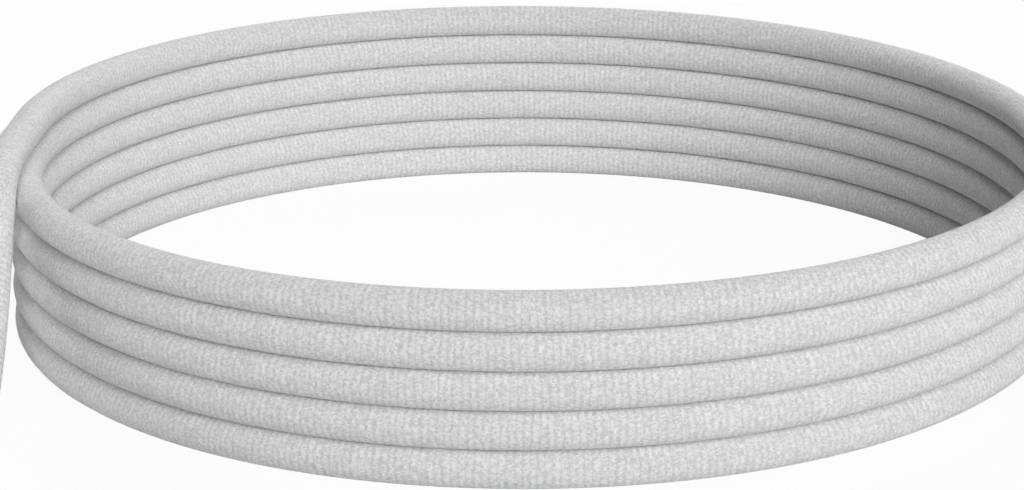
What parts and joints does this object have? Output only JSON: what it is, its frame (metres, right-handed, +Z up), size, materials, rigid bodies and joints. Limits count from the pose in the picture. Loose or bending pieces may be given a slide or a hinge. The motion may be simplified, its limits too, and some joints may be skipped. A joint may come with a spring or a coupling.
{
  "type": "usb cable",
  "caption": "Braided charging cable wound into a neat ring of stacked turns, with a flat reversible plug on each free end, for power and data.",
  "frame": {"origin": "on the ring's axis, at the surface that the cable lies on", "axes": "+Z up along the ring's axis, -Y the way both plugs point, +X to the right plug"},
  "size_m": [0.1129, 0.155, 0.0217],
  "materials": {
    "braid": "fine light-grey braid",
    "housing_plastic": "satin white",
    "soft_collar": "soft matt white",
    "shell_steel": "satin",
    "spring_steel": "satin",
    "can_steel": "satin",
    "contact_gold": "plated",
    "insulator": "matt black",
    "board": "solder mask",
    "chip_resin": "matt black",
    "ceramic": "matt",
    "wire_jacket": "smooth"
  },
  "bodies": {
    "root": {"coil": "braid", "left_tail": "braid", "right_tail": "braid", "left_housing": "housing_plastic", "left_strain_relief": "soft_collar", "left_steel_shell": "shell_steel", "left_contact_carrier": "insulator", "left_upper_contacts": "contact_gold", "left_lower_contacts": "contact_gold", "left_latch_spring": "spring_steel", "left_paddle_card": "board", "left_marker_chip": "chip_resin", "left_capacitors": "ceramic", "left_conductors": "wire_jacket", "left_shield_can": "can_steel", "left_crimp_ring": "can_steel", "right_housing": "housing_plastic", "right_strain_relief": "soft_collar", "right_steel_shell": "shell_steel", "right_contact_carrier": "insulator", "right_upper_contacts": "contact_gold", "right_lower_contacts": "contact_gold", "right_latch_spring": "spring_steel", "right_paddle_card": "board", "right_marker_chip": "chip_resin", "right_capacitors": "ceramic", "right_conductors": "wire_jacket", "right_shield_can": "can_steel", "right_crimp_ring": "can_steel"}
  },
  "joints": []
}
